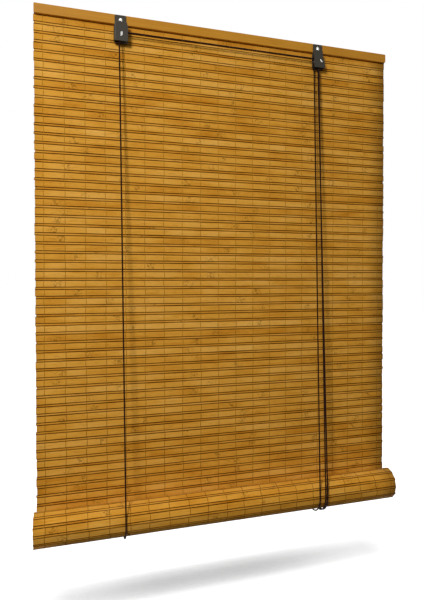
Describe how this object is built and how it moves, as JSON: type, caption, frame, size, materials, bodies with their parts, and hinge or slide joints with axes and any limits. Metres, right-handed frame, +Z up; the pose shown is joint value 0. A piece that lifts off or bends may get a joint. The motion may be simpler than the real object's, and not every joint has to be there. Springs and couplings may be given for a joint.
{
  "type": "bamboo roll up blind",
  "caption": "Roll up window blind of split bamboo slats woven with thread, hung from a head rail, with lift cords in slings under the roll, guide rollers and a sliding cord lock.",
  "frame": {"origin": "midway between the two wall screws, on the wall plane at the back of the head rail", "axes": "+Z up, +X to the right seen from the front, +Y into the wall, the front faces -Y"},
  "size_m": [0.6, 0.084, 0.8166],
  "materials": {
    "rail_bamboo": "satin lacquered bamboo",
    "slat_bamboo": "split bamboo, satin skin with darker nodes",
    "stick_bamboo": "split bamboo, satin",
    "bar_wood": "plain turned wood",
    "binding_thread": "twisted brown thread",
    "cord": "braided dark brown cord",
    "bracket_steel": "dark blackened steel, satin",
    "nickel": "bright nickel plate",
    "roller_steel": "turned zinc plated steel",
    "nail_steel": "plain wire"
  },
  "bodies": {
    "headrail": {"front_batten": "rail_bamboo", "back_batten": "rail_bamboo", "header_slat": "slat_bamboo", "rail_nails": "nail_steel", "wall_screws": "nickel", "left_bracket": "bracket_steel", "right_bracket": "bracket_steel", "left_axle": "nickel", "right_axle": "bracket_steel", "wide_slats": "slat_bamboo", "narrow_sticks": "stick_bamboo", "front_threads": "binding_thread", "back_threads": "binding_thread", "left_back_cord": "cord", "left_front_cord": "cord", "cross_cord": "cord", "right_back_cord": "cord", "right_front_cord": "cord", "right_turn_cord": "cord", "pull_back_cords": "cord", "pull_front_cords": "cord", "cord_knots": "cord"},
    "slings": {"left_sling": "cord", "right_sling": "cord", "pull_slings": "cord"},
    "roll": {"mat_roll": "slat_bamboo", "bottom_bar": "bar_wood"},
    "left_guide": {"left_guide_roller": "roller_steel"},
    "right_guide": {"right_guide_roller": "roller_steel"},
    "lock": {"lock_axle": "nickel"},
    "lock_wheel": {"lock_roller": "roller_steel"}
  },
  "joints": [
    {"name": "roll_lift", "type": "slide", "parent": "headrail", "child": "slings", "axis": [0, 0, 1], "range_m": [0, 0.69], "deforming": ["wide_slats", "narrow_sticks", "front_threads", "back_threads", "left_back_cord", "right_back_cord", "pull_back_cords", "left_front_cord", "right_front_cord", "pull_front_cords"]},
    {"name": "roll_turn", "type": "hinge", "parent": "slings", "child": "roll", "pos_m": [0, -0.03275, -0.7729], "axis": [1, 0, 0], "range_deg": [-1480, 0]},
    {"name": "left_guide_turn", "type": "hinge", "parent": "headrail", "child": "left_guide", "pos_m": [-0.1674, -0.01845, -0.024], "axis": [0, 1, 0], "continuous": true},
    {"name": "right_guide_turn", "type": "hinge", "parent": "headrail", "child": "right_guide", "pos_m": [0.164, -0.01845, -0.024], "axis": [0, 1, 0], "continuous": true},
    {"name": "lock_slide", "type": "slide", "parent": "headrail", "child": "lock", "axis": [0.6428, 0, -0.766], "range_m": [0, 0.003]},
    {"name": "lock_turn", "type": "hinge", "parent": "lock", "child": "lock_wheel", "pos_m": [0.1709, -0.01845, -0.024], "axis": [0, 1, 0], "continuous": true}
  ],
  "couplings": [
    {"joint": "roll_turn", "follows": "roll_lift", "rad_per_m": -37.383}
  ]
}
